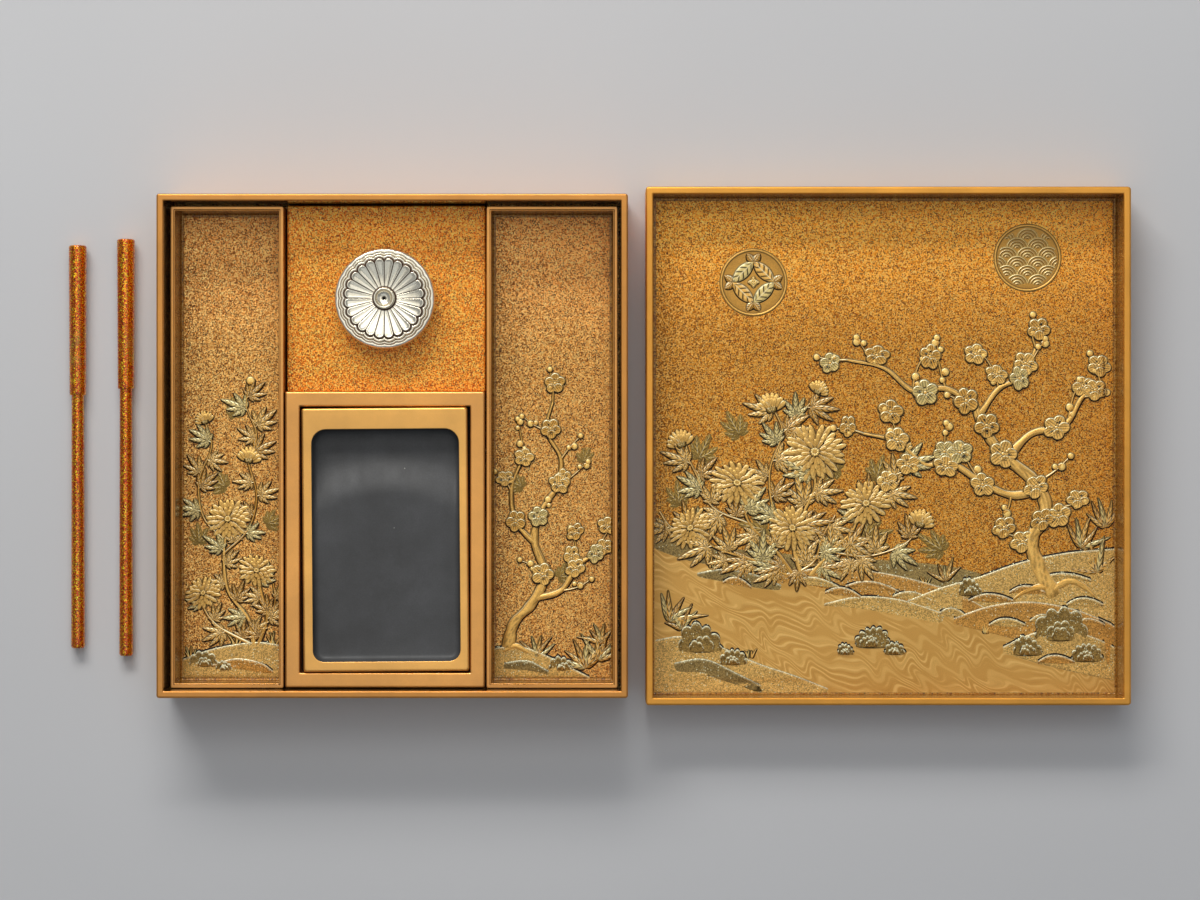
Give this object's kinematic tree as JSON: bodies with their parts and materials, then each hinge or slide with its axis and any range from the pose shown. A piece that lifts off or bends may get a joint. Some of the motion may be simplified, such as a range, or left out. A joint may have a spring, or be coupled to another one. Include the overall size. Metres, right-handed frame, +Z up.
{
  "type": "suzuri ink box",
  "caption": "Low lidded box for brush writing, in gold lacquer, with lift-out trays, an inkstone in a framed well, a flower-shaped silver water dropper and capped brushes.",
  "frame": {"origin": "centre of the underside of the box body, on the table", "axes": "+X to the right, from the brushes past the box to the open lid; +Y to the back, from the inkstone to the water dropper; +Z up"},
  "size_m": [0.5157, 0.25, 0.04],
  "materials": {
    "gold_lacquer": "satin gold lacquer over wood",
    "nashiji_lacquer": "clear lacquer over sprinkled gold flakes",
    "orange_nashiji_lacquer": "clear orange lacquer over sprinkled gold flakes",
    "brush_lacquer": "glossy red-orange lacquer with gold flakes",
    "bare_wood": "dark stained wood",
    "inkstone_slate": "honed dark slate with a gilt rim",
    "silver": "polished silver, tarnished in the grooves",
    "brush_hair": "fine animal hair"
  },
  "bodies": {
    "box": {"box_bottom": "nashiji_lacquer", "box_front": "gold_lacquer", "box_back": "gold_lacquer", "box_left": "gold_lacquer", "box_right": "gold_lacquer"},
    "lid": {"lid_top": "nashiji_lacquer", "lid_front": "gold_lacquer", "lid_back": "gold_lacquer", "lid_left": "gold_lacquer", "lid_right": "gold_lacquer"},
    "left_tray": {"left_tray_bottom": "nashiji_lacquer", "left_tray_front": "gold_lacquer", "left_tray_back": "gold_lacquer", "left_tray_inner_side": "gold_lacquer", "left_tray_outer_side": "gold_lacquer"},
    "right_tray": {"right_tray_bottom": "nashiji_lacquer", "right_tray_front": "gold_lacquer", "right_tray_back": "gold_lacquer", "right_tray_inner_side": "gold_lacquer", "right_tray_outer_side": "gold_lacquer"},
    "centre_board": {"panel": "orange_nashiji_lacquer", "panel_battens": "bare_wood", "well_floor": "bare_wood", "well_battens": "bare_wood", "frame_rail_front": "gold_lacquer", "frame_rail_back": "gold_lacquer", "frame_rail_left": "gold_lacquer", "frame_rail_right": "gold_lacquer"},
    "inkstone": {"inkstone": "inkstone_slate"},
    "water_dropper": {"dropper_bowl": "silver", "dropper_crown": "silver", "dropper_collar": "silver"},
    "brush_a": {"brush_a_handle": "brush_lacquer", "brush_a_hair": "brush_hair"},
    "brush_a_cap": {"brush_a_cap": "brush_lacquer", "brush_a_cap_plug": "brush_lacquer"},
    "brush_b": {"brush_b_handle": "brush_lacquer", "brush_b_hair": "brush_hair"},
    "brush_b_cap": {"brush_b_cap": "brush_lacquer", "brush_b_cap_plug": "brush_lacquer"}
  },
  "joints": [
    {"name": "lid_turn", "type": "hinge", "parent": "box", "child": "lid", "pos_m": [0.1191, 0, 0.02205], "axis": [0, 1, 0], "range_deg": [-180, 0]},
    {"name": "left_tray_lift", "type": "slide", "parent": "box", "child": "left_tray", "axis": [0, 0, 1], "range_m": [0, 0.06]},
    {"name": "right_tray_lift", "type": "slide", "parent": "box", "child": "right_tray", "axis": [0, 0, 1], "range_m": [0, 0.06]},
    {"name": "centre_board_lift", "type": "slide", "parent": "box", "child": "centre_board", "axis": [0, 0, 1], "range_m": [0, 0.06]},
    {"name": "inkstone_lift", "type": "slide", "parent": "centre_board", "child": "inkstone", "axis": [0, 0, 1], "range_m": [0, 0.04]},
    {"name": "water_dropper_lift", "type": "slide", "parent": "centre_board", "child": "water_dropper", "axis": [0, 0, 1], "range_m": [0, 0.05]},
    {"name": "brush_a_lift", "type": "slide", "parent": "box", "child": "brush_a", "axis": [0, 0, 1], "range_m": [0, 0.1]},
    {"name": "brush_a_cap_off", "type": "slide", "parent": "brush_a", "child": "brush_a_cap", "axis": [0, 1, 0.0048], "range_m": [0, 0.08]},
    {"name": "brush_b_lift", "type": "slide", "parent": "box", "child": "brush_b", "axis": [0, 0, 1], "range_m": [0, 0.1]},
    {"name": "brush_b_cap_off", "type": "slide", "parent": "brush_b", "child": "brush_b_cap", "axis": [0, 1, 0.0047], "range_m": [0, 0.08]}
  ]
}
